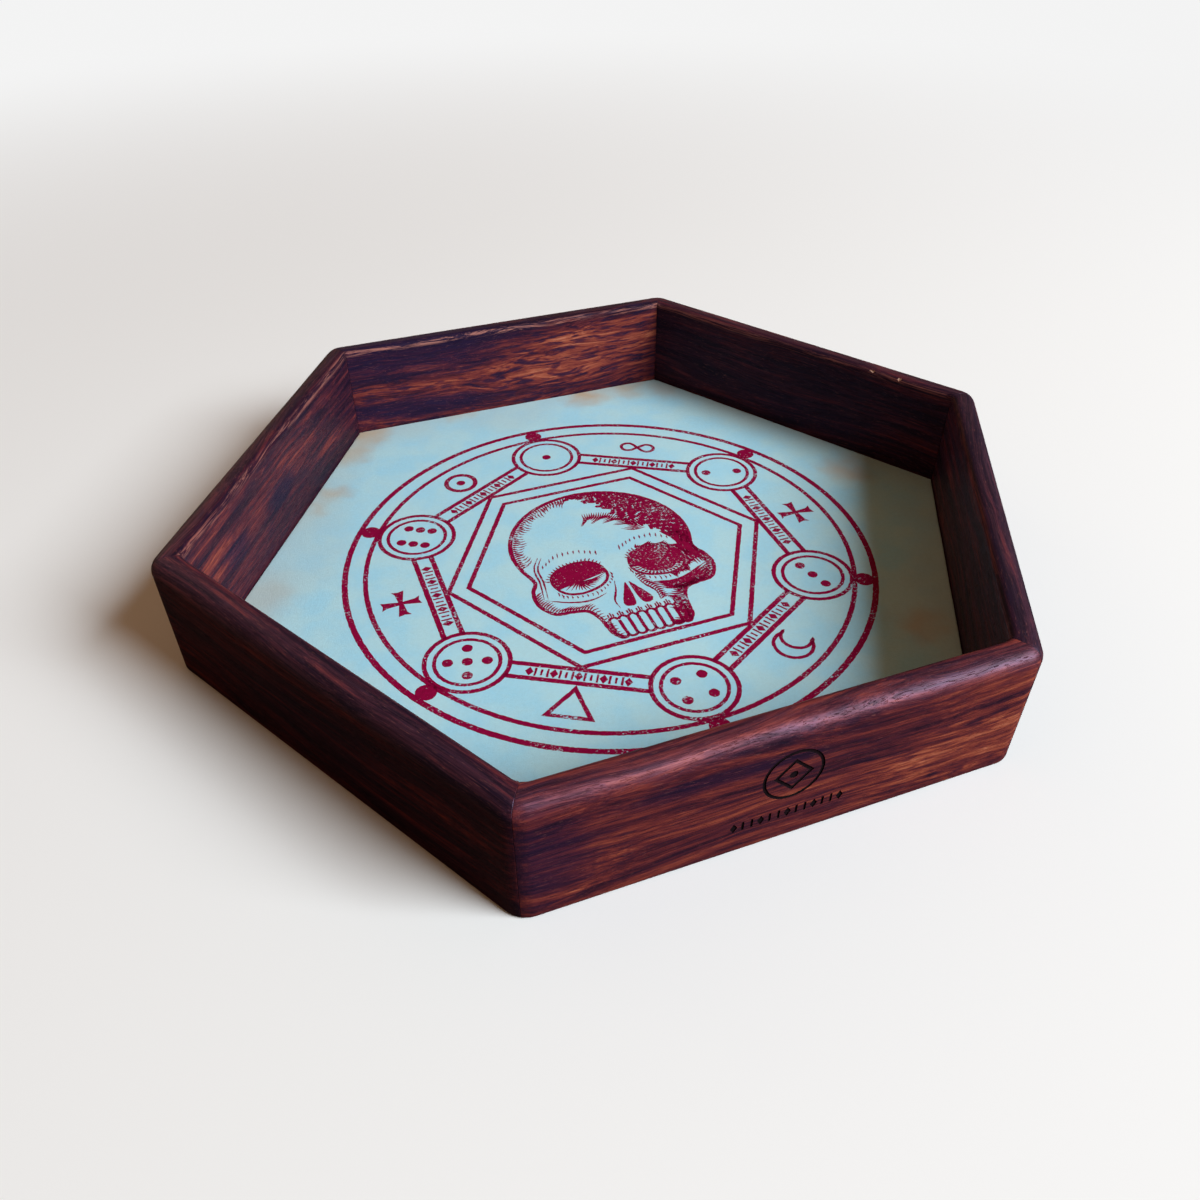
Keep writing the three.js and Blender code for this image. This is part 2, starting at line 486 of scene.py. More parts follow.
INK_RISE = 0.03 * MM
INK_SINK = 0.05 * MM
PRINT_OFFSET = (-0.4 * MM, -0.95 * MM)  # how far off the middle of the mat the print sits
RING_RADII = (82.0, 75.8)
RING_WIDTHS = (1.8, 1.5)
MEDAL_RADIUS = 63.1
MEDAL_OUTER, MEDAL_INNER = 11.9, 9.15
BRIDGE_RADIUS = 78.6
BAR_INNER, BAR_OUTER = 52.9, 58.3
HEXAGONS = (52.0, 45.8)
SYMBOL_RADIUS = 66.5
PIP_RADIUS, PIP_GAP = 1.55, 3.9
BEAD_RADIUS = 3.0
TICK_PITCH = 1.72
LOZENGE = np.array([(1, 0), (0, 1), (-1, 0), (0, -1)])


def on_mat(u, v, level):
    x = u + PRINT_OFFSET[0]
    y = v + PRINT_OFFSET[1]
    base = mat_height(x, y)
    return (x, y, base + INK_RISE if level else base - INK_SINK)


def draw_rings(ink):
    for radius, width in zip(RING_RADII, RING_WIDTHS):
        ink.loop(circle((0, 0), radius, 0.7), width)


def draw_medallions(ink):
    """Six double circles, each with a dot outside it and the pips of one face of a die inside."""
    for number in range(1, SIDES + 1):
        angle = math.pi / 2 - (number - 1) * SECTOR
        centre = polar(MEDAL_RADIUS, angle)
        ink.loop(circle(centre, MEDAL_OUTER, 0.6), 1.35)
        ink.loop(circle(centre, MEDAL_INNER, 0.6), 1.1)
        ink.patch(circle(polar(BRIDGE_RADIUS, angle), BEAD_RADIUS, 0.5))
        for pip in moved(pips(number), centre, angle - math.pi / 2):
            ink.patch(circle(pip, PIP_RADIUS, 0.4))


def pips(number):
    """Places of a die's pips, about the middle of its face."""
    gap = PIP_GAP
    places = []
    if number % 2:
        places.append((0, 0))
    if number >= 2:
        places += [(-gap, -gap), (gap, gap)]
    if number >= 4:
        places += [(-gap, gap), (gap, -gap)]
    if number == 6:
        places += [(-gap, 0), (gap, 0)]
    return places


def draw_bars(ink):
    """Double lines between neighbouring medallions, with a row of ticks and lozenges in each."""
    line_width = 1.6
    for side in range(SIDES):
        angle = side * SECTOR
        for distance in (BAR_INNER, BAR_OUTER):
            offset = distance - MEDAL_RADIUS * math.cos(MITRE)
            clear = math.sqrt(MEDAL_OUTER**2 - offset**2)
            half = MEDAL_RADIUS * math.sin(MITRE) - clear
            line = along([(distance, -half), (distance, half)], 0.8)
            ink.stroke(moved(line, (0, 0), angle), line_width)
        middle = (BAR_INNER + BAR_OUTER) / 2
        for place in range(-8, 9):
            centre = (middle, place * TICK_PITCH)
            if place % 4 == 0:
                ink.patch(moved(LOZENGE * (1.75, 1.2) + centre, (0, 0), angle))
            else:
                reach = 1.6 if place % 2 else 1.15
                tick = along([(-reach, 0), (reach, 0)], 0.5)
                ink.stroke(moved(np.array(tick) + centre, (0, 0), angle), 0.62)


def draw_hexagons(ink):
    for reach in HEXAGONS:
        corners = [polar(reach, side * SECTOR) for side in range(SIDES)]
        ink.loop(along(corners, 0.8, closed=True), 1.45)


def draw_symbols(ink):
    """One old sign in each gap between the rings and the bars."""
    sun = polar(SYMBOL_RADIUS, 2 * SECTOR)
    ink.loop(circle(sun, 5.0, 0.6), 1.6)
    ink.patch(circle(sun, 1.5, 0.4))

    right_loop = arc((3.45, 0), 2.45, -138, 138, 0.5)
    left_loop = arc((-3.45, 0), 2.45, 318, 42, 0.5)
    knot = np.vstack([right_loop, left_loop])
    ink.loop(moved(knot, polar(SYMBOL_RADIUS, SECTOR), SECTOR - math.pi / 2), 1.2)

    for side in (0, 3):
        ink.patch(moved(flared_cross(5.9), polar(SYMBOL_RADIUS, side * SECTOR), side * SECTOR))

    belly = arc((0, 0), 5.6, 95, 355, 0.6)
    hollow = arc((2.3, 2.3), 4.5, 338, 112, 0.6)
    crescent = np.vstack([belly, hollow])
    ink.loop(moved(crescent, polar(SYMBOL_RADIUS, -SECTOR), 0), 1.1)

    corners = [polar(7.0, SECTOR + turn * 2 * SECTOR) for turn in range(3)]
    triangle = along(corners, closed=True)
    ink.loop(moved(triangle, polar(SYMBOL_RADIUS + 1, -2 * SECTOR), 0), 1.3)


def flared_cross(arm):
    """Outline of a cross whose four arms widen towards their ends."""
    waist, flare = 0.68, 1.9
    quarter_outline = [
        (arm, -flare),
        (arm - 0.5, 0),
        (arm, flare),
        (arm - 1.5, waist + 0.3),
        (waist, waist),
    ]
    points = []
    for turn in range(4):
        points += list(moved(quarter_outline, (0, 0), turn * math.pi / 2))
    return points


# ---- skull


CRANIUM = np.array([0, 8.5])
CRANIUM_RADII = np.array([29.0, 27.8])
SOCKET = np.array([12.8, -7.4])
SOCKET_RADII = (8.8, 7.3)
SOCKET_TILT = math.radians(-12)
GUM_LINE, BITE_LINE = -29.6, -37.6


def both_sides(points):
    """A right-hand shape and its mirror image."""
    points = np.asarray(points, float)
    return points, points * (-1, 1)


def cranium_arc(scale, start, stop):
    return arc(CRANIUM, tuple(CRANIUM_RADII * scale), start, stop)


def face_edge():
    """The right edge of the face, from the end of the cranium's arc down past the cheek to the teeth."""
    temple = [(28.0, 1.0), (26.4, -5.0)]
    cheek = [(28.3, -9.5), (28.6, -15.5), (25.5, -21.0), (20.5, -22.0), (16.0, -23.2)]
    jaw = [(13.8, -27.0), (13.0, -31.5), (12.2, -35.5), (9.5, BITE_LINE - 0.3)]
    return curve_through(temple + cheek + jaw)


def socket_outline(scale, start=0, stop=360):
    """Part of a right eye socket's rim, with angles in degrees."""
    angles = np.radians(np.linspace(start, stop, max(8, round((stop - start) / 8)) + 1))
    ring = np.stack([np.cos(angles), np.sin(angles)], 1)
    rim = np.sign(ring) * np.abs(ring) ** 0.86 * SOCKET_RADII * scale
    return moved(rim, SOCKET, SOCKET_TILT)


def draw_skull(ink):
    draw_skull_outline(ink)
    draw_sockets(ink)
    draw_nose(ink)
    draw_teeth(ink)
    draw_dark_side(ink)
    draw_deep_shade(ink)
    draw_light_side(ink)
    draw_cheeks(ink)


def draw_skull_outline(ink):
    start = -math.degrees(math.asin(7.5 / CRANIUM_RADII[1]))
    ink.stroke(cranium_arc(1, start, 180 - start), 1.4)
    for edge in both_sides(face_edge()):
        ink.stroke(edge, 1.3)


def draw_sockets(ink):
    """Deep sockets: solid above, and cut by light strokes below. The right one is in deeper shade."""
    for side, floor, strokes, width in ((-1, 0.05, 15, 0.6), (1, -0.7, 17, 0.9)):
        mirror = (side, 1)
        ink.loop(socket_outline(0.99, 0, 352)[:-1] * mirror, 1.0)
        brow = socket_outline(0.99, -12, 192)
        lid = socket_outline(0.99, 192, 348)
        sill = lid + (brow[0] + brow[-1] - 2 * lid) * 0.5 * (1 + floor)
        ink.patch(np.vstack([brow, sill[1:-1]]) * mirror)
        hatch(ink, sill * mirror, lid * mirror, strokes, width, bow=0.1 * side)
        lashes = socket_outline(1.0, 20, 165), socket_outline(1.24, 24, 160)
        hatch(ink, lashes[0] * mirror, lashes[1] * mirror, 19, 0.5, bow=0.1)
    for line in both_sides(curve_through([(4.0, 1.6), (9.5, 4.6), (16.5, 4.2), (22.0, 0.6)])):
        hatch(ink, line, line + (0.6, 2.6), 12, 0.5)


def draw_nose(ink):
    half = curve_through([(0.5, -14.6), (2.6, -18.4), (4.6, -23.4), (3.4, -25.4), (0.9, -24.2)], closed=True)
    for copy in both_sides(half):
        ink.patch(copy)
    bridge = curve_through([(3.4, -12.6), (4.6, -17.0), (6.6, -21.4), (6.4, -25.6)])
    for copy in both_sides(bridge):
        ink.stroke(copy, 0.7, taper=0.5)
    hatch(ink, bridge, bridge + (3.6, 0.6), 15, 0.85, bow=0.15)


def draw_teeth(ink):
    pitch = 3.0
    for place in range(-4, 5):
        x = place * pitch
        root = (x * 0.98, GUM_LINE + 0.6 * math.cos(place))
        tip = (x * 0.95, BITE_LINE + 0.4)
        ink.stroke(along([root, tip], 0.8), 1.05)
    for place in range(-4, 4):
        middle = (place + 0.5) * pitch
        ink.stroke(arc((middle * 0.95, BITE_LINE + 1.2), (1.5, 1.5), 185, 355, 0.5), 0.95)
        ink.stroke(arc((middle * 0.98, GUM_LINE - 0.6), (1.4, 1.6), 15, 165, 0.5), 0.9)
        for crack in (-0.7, 0.1, 0.8):
            top = (middle + crack, GUM_LINE + 3.4 - abs(crack))
            ink.stroke([top, (middle + crack, GUM_LINE + 1.4)], 0.5)


def draw_dark_side(ink):
    """The skull's right side: broken strokes that follow its curve and thin out towards the light."""
    deepest = 15.0
    spacing = 1.0
    for line in range(15):
        depth = 0.9 + line * spacing
        share = depth / deepest
        reach = 62 * math.sqrt(max(0.04, 1 - share))
        middle = 36 - 2 * share
        start = middle - reach + 4 * math.sin(line * 2.4)
        stop = middle + reach * (1 - 0.15 * share) + 5 * math.sin(line * 1.7)
        width = 1.3 - 0.85 * max(0.0, share - 0.5)
        dash = 17 - 5 * share
        begin = start
        while begin < stop:
            end = min(begin + dash * (1 + 0.3 * math.sin(line * 5 + begin)), stop)
            scale = 1 - depth / CRANIUM_RADII[0]
            ink.stroke(cranium_arc(scale, begin, end), width, taper=0.10)
            begin = end + 0.3
    rim = cranium_arc(1 - 12.5 / CRANIUM_RADII[0], 6, 92)
    light = cranium_arc(1 - 19.5 / CRANIUM_RADII[0], 24, 112)
    hatch(ink, rim, light, 30, 0.7, bow=0.12, fade=0.45)


def draw_deep_shade(ink):
    """Close strokes that join the right socket, temple and cheek into one dark side."""
    hatch(ink, socket_outline(1.02, -75, 120), socket_outline(1.42, -70, 110), 50, 0.9, bow=0.1, fade=0.6)
    edge = face_edge()[44:84]
    hatch(ink, edge, edge + (-6.0, 1.8), 24, 0.9, bow=0.1, fade=0.4)


def draw_light_side(ink):
    """Short strokes inside the outline, all along the skull's left."""
    rim = cranium_arc(0.99, 84, 192)
    hatch(ink, rim, cranium_arc(0.87, 88, 190), 50, 0.8, bow=0.12, fade=0.45)
    hatch(ink, cranium_arc(0.93, 96, 190), cranium_arc(0.80, 104, 184), 30, 0.5, bow=-0.1, fade=0.5)


def draw_cheeks(ink):
    edge = face_edge()
    for side, copy in zip((1, -1), both_sides(edge)):
        lower = copy[20:50]
        hatch(ink, lower, lower + (-3.4 * side, 2.6), 24, 0.8 if side == 1 else 0.6, bow=0.08)
        jaw = copy[50:76]
        hatch(ink, jaw, jaw + (-2.8 * side, 0.8), 11, 0.7 if side == 1 else 0.5, bow=0.1)
    under = socket_outline(1.1, 195, 345)
    for copy in both_sides(under):
        hatch(ink, copy, copy + (0, -2.4), 16, 0.5, bow=0.1, fade=0.5)
    shade = curve_through([(7.6, -17.2), (13.0, -18.8), (19.0, -17.8), (26.4, -14.0)])
    for drop in range(5):
        ink.stroke(shade + (0.35 * drop, -0.95 * drop), 1.05, taper=0.2)
    ink.stroke(shade * (-1, 1), 0.7, taper=0.4)
    temple = curve_through([(19.8, 6.4), (22.6, 1.0), (23.0, -6.0), (24.2, -14.0)])
    for line in range(5):
        ink.stroke(temple + (0.95 * line, 0.3 * line), 1.05, taper=0.15)
    for line in range(2):
        ink.stroke((temple + (0.9 + 1.1 * line, 0.3 * line)) * (-1, 1), 0.6, taper=0.4)


# ---- burnt mark and chips


MARK_DEPTH = 0.25 * MM
MARK_HEIGHT = 22.0
ROW_HEIGHT = 9.0


def on_front_face(u, v, level):
    """A place on the front rail's outer face. Level 1 is outside it, for a cutter to reach over."""
    depth = -MARK_DEPTH if level else MARK_DEPTH
    return (u, -OUTER + depth, v)


def mark_cutter(material):
    """A plain ring round a lozenge, over a row of ticks and lozenges."""
    mark = Drawing()
    mark.loop(circle((0, MARK_HEIGHT), 7.4, 0.6), 0.9)
    frame_line = along(LOZENGE * 4.5 + (0, MARK_HEIGHT), 1.2, closed=True)
    mark.loop(frame_line, 0.9)
    mark.patch(circle((0, MARK_HEIGHT), 1.1, 0.4))
    for place in range(-6, 7):
        centre = np.array((2.3 * place, ROW_HEIGHT))
        if place % 3 == 0:
            mark.patch(LOZENGE * (0.95, 1.6) + centre)
        else:
            mark.stroke([centre - (0, 1.4), centre + (0, 1.4)], 0.65)
    return mark.build("mark_cutter", on_front_face, material)


def slot_cutter(angle, material):
    """The pocket for one spline, a little larger than the spline."""
    low, high = SPLINE_LOW, SPLINE_HIGH
    grow = SLOT_CLEARANCE
    chamfer = 0.4 * MM
    x0, x1 = low.x - grow, high.x + grow
    y0, y1 = low.y - grow, high.y + grow
    outline = [
        (x1, y0 + chamfer),
        (x1, y1 - chamfer),
        (x1 - chamfer, y1),
        (x0 + chamfer, y1),
        (x0, y1 - chamfer),
        (x0, y0 + chamfer),
        (x0 + chamfer, y0),
        (x1 - chamfer, y0),
    ]
    vertices = [(x, y, z) for z in (low.z - grow, high.z + grow) for x, y in outline]
    count = len(outline)
    faces = [range(count)[::-1], range(count, 2 * count), *belt(0, count)]
    rotation = np.array(Matrix.Rotation(angle, 3, "Z"))
    return new_object("slot_cutter", np.array(vertices) @ rotation.T, faces, material)


def chip_cutter(turn, place, apothem, height, length, radius, material):
    """A lumpy grain of wood to be broken out of a rail's rim, longer along the grain."""
    rings, spokes = 7, 12
    vertices = [(0, 0, -1)]
    for ring in range(1, rings):
        tilt = math.pi * ring / rings
        for spoke in range(spokes):
            x, y = polar(math.sin(tilt), math.tau * spoke / spokes)
            vertices.append((x, y, -math.cos(tilt)))
    vertices.append((0, 0, 1))
    faces = []
    for spoke in range(spokes):
        after = (spoke + 1) % spokes
        faces.append((0, 1 + after, 1 + spoke))
        for ring in range(rings - 2):
            low = 1 + ring * spokes
            faces.append((low + spoke, low + after, low + spokes + after, low + spokes + spoke))
        top = 1 + (rings - 2) * spokes
        faces.append((top + spoke, top + after, len(vertices) - 1))
    shaped = []
    for v in vertices:
        lump = 1 + 0.35 * noise.noise(Vector(v) * 1.6 + Vector((place, turn, 0)))
        shaped.append((v[0] * length * lump, v[1] * radius * lump, v[2] * radius * lump))
    moved_to = np.array(shaped) * MM + (place * MM, -apothem, height)
    return new_object("chip_cutter", turned(moved_to, turn), faces, material)


SLIVER = 0.001 * MM  # shorter edges than this, left by a cut, are closed up


def cut(obj, cutters):
    """Cuts closed solids out of a piece. The cut faces take the cutter's material."""
    for cutter in cutters:
        face_outwards(cutter)
        modifier = obj.modifiers.new("cut", "BOOLEAN")
        modifier.operation = "DIFFERENCE"
        modifier.solver = "EXACT"
        modifier.material_mode = "TRANSFER"
        modifier.object = cutter
    graph = bpy.context.evaluated_depsgraph_get()
    mesh = bpy.data.meshes.new_from_object(obj.evaluated_get(graph), depsgraph=graph)
    obj.modifiers.clear()
    obj.data = mesh
    for cutter in cutters:
        bpy.data.objects.remove(cutter)
    editable = bmesh.new()
    editable.from_mesh(mesh)
    bmesh.ops.dissolve_degenerate(editable, dist=SLIVER, edges=editable.edges)
    editable.to_mesh(mesh)
    editable.free()


# ---- shader graphs


def colour(red, green, blue):
    """A colour given as it looks on a screen, 0 to 255, as the linear values that shaders take."""
    channels = [c / 255 for c in (red, green, blue)]
    linear = [c / 12.92 if c <= 0.04045 else ((c + 0.055) / 1.055) ** 2.4 for c in channels]
    return (*linear, 1.0)


class Value:
    """What a shader node gives out. Numbers can be added, subtracted and multiplied."""

    def __init__(self, graph, socket):
        self.graph = graph
        self.socket = socket

    def __add__(self, other):
        return self.graph.math("ADD", self, other)

    def __sub__(self, other):
        return self.graph.math("SUBTRACT", self, other)

    def __mul__(self, other):
        return self.graph.math("MULTIPLY", self, other)


class Graph:
    """Short names for the shader nodes that a material or a world is made of."""

    def __init__(self, owner):
        self.owner = owner
        owner.use_nodes = True
        self.tree = owner.node_tree
        self.tree.nodes.clear()

    def node(self, kind, inputs, output=0, **settings):
        made = self.tree.nodes.new("ShaderNode" + kind)
        for key, value in settings.items():
            setattr(made, key, value)
        for key, value in inputs.items():
            if isinstance(value, Value):
                self.tree.links.new(value.socket, made.inputs[key])
            else:
                made.inputs[key].default_value = value
        return Value(self, made.outputs[output]) if made.outputs else None

    def math(self, operation, a, b=0.0):
        return self.node("Math", {0: a, 1: b}, operation=operation)

    def scaled(self, vector, factors):
        return self.node("VectorMath", {0: vector, 1: factors}, operation="MULTIPLY")

    def added(self, vector, offset):
        return self.node("VectorMath", {0: vector, 1: offset}, operation="ADD")

    def dot(self, vector, other):
        return self.node("VectorMath", {0: vector, 1: other}, "Value", operation="DOT_PRODUCT")

    def distance(self, place, centre, scales):
        """How far each place is from a centre, with the axes scaled."""
        offset = self.scaled(self.added(place, tuple(-c for c in centre)), scales)
        return self.node("VectorMath", {0: offset}, "Value", operation="LENGTH")

    def warped(self, place, noise, reach):
        """Places moved about by a coloured noise, by up to half of reach either way."""
        return self.added(place, self.scaled(self.added(noise, (-0.5,) * 3), reach))

    def millimetres(self):
        """Each place of the object, in millimetres."""
        return self.scaled(self.node("TexCoord", {}, "Object"), (1 / MM,) * 3)

    def noise(self, place, scales, detail=2.0, roughness=0.5, distortion=0.0, output="Fac"):
        inputs = {"Vector": self.scaled(place, scales), "Scale": 1.0, "Detail": detail}
        inputs["Roughness"] = roughness
        inputs["Distortion"] = distortion
        return self.node("TexNoise", inputs, output)

    def step(self, value, low, high, to_low=0.0, to_high=1.0):
        """A smooth step from to_low to to_high as value goes from low to high."""
        inputs = {"Value": value, 1: low, 2: high, 3: to_low, 4: to_high}
        return self.node("MapRange", inputs, interpolation_type="SMOOTHSTEP")

    def mix(self, factor, a, b):
        return self.node("Mix", {0: factor, 6: a, 7: b}, 2, data_type="RGBA")

    def tint(self, factor, tone, *screen_colour):
        return self.mix(factor, tone, colour(*screen_colour))

    def ramp(self, value, stops):
        """A range of screen colours, each given with the value that shows it."""
        made = self.tree.nodes.new("ShaderNodeValToRGB")
        self.tree.links.new(value.socket, made.inputs[0])
        elements = made.color_ramp.elements
        while len(elements) < len(stops):
            elements.new(0.5)
        for element, (position, tone) in zip(elements, stops):
            element.position = position
            element.color = colour(*tone)
        return Value(self, made.outputs[0])

    def finish(self, bump, depth, **inputs):
        """Ends the graph in a Principled surface, with a bump of a depth in metres."""
        named = {key.replace("_", " "): value for key, value in inputs.items()}
        named["Normal"] = self.node("Bump", {"Height": bump, "Distance": depth, "Strength": 1.0})
        surface = self.node("BsdfPrincipled", named)
        self.node("OutputMaterial", {"Surface": surface})
        return self.owner


# ---- materials


def new_graph(name):
    return Graph(bpy.data.materials.new(name))


def rail_place(graph, turn):
    """Millimetres along a rail, across it (inwards) and up it, the same way round for every rail."""
    place = graph.node("TexCoord", {}, "Object")
    inputs = {"Vector": place, "Rotation": (0, 0, -turn * SECTOR), "Scale": (1 / MM,) * 3}
    return graph.node("Mapping", inputs)


def rail_wood(turn, seed, lightness_with_shade, flame, rim, wear_and_highlight, patches):
    """Dark tropical hardwood: orange-brown wood under purple-black streaks, with open pores.

    Flame is how strongly it breaks into short dark dashes, rim how much darker the top of the rim is, and
    glow how much orange wood shows; the glow is set low on the rails that stand in shade, so it also paints
    their shade into the wood. The wear is how pale the rim's inner edge is: partly rubbed pale by hands,
    partly a painted highlight along the inner rounding. A patch is (along, up, half length, half height, how
    dark) in millimetres, and one that is less than 0 dark is pale.
    """
    graph = new_graph("rail_wood_" + RAILS[turn])
    plain = rail_place(graph, turn)
    place = graph.added(plain, (seed * 331.0, seed * 17.0, seed * 71.0))
    broad = graph.noise(place, (0.010, 0.030, 0.030), detail=1, output="Color")
    small = graph.noise(place, (0.04, 0.16, 0.16), detail=1, output="Color")
    wave = 1.5 + 3.0 * flame
    grain = graph.warped(place, broad, (0, 16, 16))
    grain = graph.warped(grain, small, (0, wave, wave))

    bands = graph.noise(grain, (0.012, 0.22, 0.24), detail=3, roughness=0.55)
    streaks = graph.noise(grain, (0.022, 0.80, 0.90), detail=3, roughness=0.6)
    fibres = graph.noise(grain, (0.05, 3.2, 3.6), detail=3, roughness=0.65)
    dashes = graph.noise(grain, (0.12, 0.80, 0.90), detail=2, roughness=0.55, distortion=0.2)
    pores = graph.noise(grain, (0.28, 6.0, 6.5), detail=1)

    dark, pale = wood_patches(graph, plain, bands, dashes, patches)
    dashed = graph.step(dashes + fibres * 0.22, 0.60, 0.76) * flame
    tone = (bands - 0.5) * (0.50 + 0.15 * flame)
    tone += (streaks - 0.5) * (0.52 + 0.10 * flame)
    tone += (fibres - 0.5) * 0.36
    # The glow lightens the whole rail; it is set low on the rails in shade, which paints their shade into
    # the wood.
    tone += 0.38 + 0.20 * lightness_with_shade
    tone = tone - dark * 0.12 + pale * 0.13
    tone = tone - dashed * 0.13 - on_rim(graph, plain) * rim
    stops = [
        (0.22, (28, 15, 32)),
        (0.35, (58, 25, 40)),
        (0.45, (92, 36, 44)),
        (0.54, (126, 52, 48)),
        (0.64, (167, 81, 60)),
        (0.77, (206, 120, 92)),
    ]
    wood = graph.ramp(tone, stops)
    wood = graph.tint(dark * 0.5, wood, 36, 25, 58)
    wood = graph.tint(dashed * 0.5, wood, 48, 30, 60)
    pits = graph.step(pores, 0.60, 0.68)
    wood = graph.tint(pits * 0.4, wood, 26, 14, 26)
    wood = graph.tint(graph.step(pores, 0.34, 0.27) * 0.2, wood, 196, 118, 104)
    # Pale flecks on the rim's inner edge: rubbed pale by hands in part, and in part a painted highlight.
    worn = rim_wear_and_highlight(graph, plain, fibres, streaks) * wear_and_highlight
    wood = graph.tint(worn, wood, 200, 128, 112)

    polish = rim_polish(graph, plain, fibres, streaks)
    return graph.finish(
        bump=fibres * 0.5 - pits,
        depth=0.04 * MM,
        Base_Color=wood,
        Roughness=fibres * 0.25 + 0.34 + pits * 0.2,
        Specular_IOR_Level=polish * 0.50 + 0.11,
        Specular_Tint=graph.mix(polish, (1.0, 0.6, 0.7, 1), (0.9, 0.62, 1.0, 1)),
    )


def wood_patches(graph, place, bands, dashes, patches):
    """How far each place lies in a ragged dark patch of the wood, and in a pale one."""
    ragged = bands + dashes * 1.3
    found = {True: 0.0, False: 0.0}
    for along_rail, up, half_length, half_height, amount in patches:
        far = graph.distance(place, (along_rail, 0, up), (1 / half_length, 0, 1 / half_height))
        inside = graph.step(far + ragged, 2.3, 1.6, 0.0, abs(amount))
        found[amount > 0] = graph.math("MAXIMUM", found[amount > 0], inside)
    return found[True], found[False]


def apothem_and_height(graph, place):
    """How far out from the tray's axis each place of a rail is, and how high, in millimetres."""
    y = graph.node("SeparateXYZ", {0: place}, "Y")
    return y * -1.0, graph.node("SeparateXYZ", {0: place}, "Z")


def rim_polish(graph, place, fibres, streaks):
    """How far hands have polished each place: broken streaks along the outside of the rounded rim."""
    apothem, height = apothem_and_height(graph, place)
    outer = graph.step(apothem, INNER / MM + 1.5, INNER / MM + 3.0)
    high = graph.step(height, HEIGHT / MM - 5.0, HEIGHT / MM - 2.0)
    broken = graph.step(fibres + streaks * 1.2, 0.85, 1.35) * 0.75 + 0.25
    return outer * high * broken


def on_rim(graph, place):
    """How far each place lies on the flat top of the rim."""
    height = apothem_and_height(graph, place)[1]
    return graph.step(height, HEIGHT / MM - 1.2, HEIGHT / MM - 0.2)


def rim_wear_and_highlight(graph, place, fibres, streaks):
    """How pale each place is: broken flecks along the inner edge of the rim, partly rubbed pale by hands and
    partly a painted highlight where the light catches the rounding.
    """
    apothem, height = apothem_and_height(graph, place)
    inner = graph.step(apothem, INNER / MM + 1.3, INNER / MM + 0.3)
    high = graph.step(height, HEIGHT / MM - 2.8, HEIGHT / MM - 1.6)
    flecks = graph.step(fibres + streaks * 0.9, 0.90, 1.12)
    return inner * high * flecks


def fibrous_wood(name, scales, stops, depth, roughness, **inputs):
    """Plain wood with its fibres in a range of tones, each given with its place in the range."""
    graph = new_graph(name)
    fibres = graph.noise(graph.millimetres(), scales, detail=3)
    tone = graph.ramp(fibres, stops)
    return graph.finish(bump=fibres, depth=depth * MM, Base_Color=tone, Roughness=roughness, **inputs)


def raw_wood():
    """Freshly broken or cut wood, paler than the oiled face."""
    stops = [(0.3, (160, 104, 84)), (0.7, (214, 168, 146))]
    return fibrous_wood("raw_wood", (1.1, 1.1, 3.0), stops, 0.08, 0.85)


def burnt_wood():
    """Charred wood at the bottom of the engraved lines."""
    stops = [(0.3, (12, 6, 10)), (0.75, (36, 18, 24))]
    return fibrous_wood("burnt_wood", (1.5, 1.5, 4.0), stops, 0.06, 0.9, Specular_IOR_Level=0.1)


# Amber stains on the mat, as x, y, radius (in millimetres) and strength.
STAINS = [
    (-59, 102, 15, 0.7),
    (-67, 90, 11, 0.5),
    (-22, 104, 10, 0.4),
    (29, 102, 13, 0.75),
    (46, 102, 10, 0.5),
    (60, 92, 9, 0.3),
    (-77, 66, 9, 0.45),
    (-84, 58, 7, 0.3),
    (-104, 16, 13, 0.2),
    (-100, -16, 10, 0.15),
    (96, 16, 14, 0.5),
    (72, -64, 12, 0.4),
    (-62, -92, 10, 0.4),
]


def cloth_tone(graph, place):
    """Colour of the mat: a pale blue-green ground, dulled towards its edge, with soft amber stains."""
    reach = None
    for side in range(SIDES // 2):
        across = graph.dot(place, (*polar(1, MITRE + side * SECTOR), 0))
        across = graph.math("ABSOLUTE", across)
        reach = across if reach is None else graph.math("MAXIMUM", reach, across)
    blots = graph.noise(place, (0.021, 0.021, 0))
    spots = graph.noise(place, (0.075, 0.075, 0))
    mottle = graph.noise(place, (0.4, 0.4, 0), detail=4, roughness=0.7)
    warp = graph.noise(place, (0.09, 0.09, 0), output="Color")
    wandered = graph.warped(place, warp, (16, 16, 0))

    ground = graph.mix(graph.step(spots, 0.35, 0.65), colour(163, 213, 235), colour(180, 217, 229))
    ground = graph.tint(graph.step(mottle, 0.3, 0.75, 0.0, 0.12), ground, 204, 220, 222)
    dull = graph.step(reach + (blots - 0.5) * 60.0, 82.0, 110.0, 0.0, 0.75)
    ground = graph.tint(dull, ground, 184, 195, 196)
    for x, y, radius, amount in STAINS:
        far = graph.distance(wandered, (x, y, 0), (1 / radius, 1 / radius, 0))
        ground = graph.tint(graph.step(far, 1.0, 0.0, 0.0, amount), ground, 196, 140, 78)
    return ground


def weave(graph, place):
    """Fine nap of the mat, as a height."""
    nap = graph.noise(place, (3.2, 3.2, 3.2), detail=3, roughness=0.7)
    return nap + graph.noise(place, (0.9, 0.9, 0.9)) * 0.5


def mat_cloth():
    """Matt cloth, with its nap showing as a faint grey speckle."""
    graph = new_graph("mat_cloth")
    place = graph.millimetres()
    nap = weave(graph, place)
    speckle = graph.step(nap, 0.45, 1.05, 0.0, 0.16)
    tone = graph.tint(speckle, cloth_tone(graph, place), 120, 140, 140)
    return graph.finish(
        bump=nap, depth=0.12 * MM, Base_Color=tone, Roughness=0.92, Sheen_Weight=0.25, Sheen_Roughness=0.5
    )


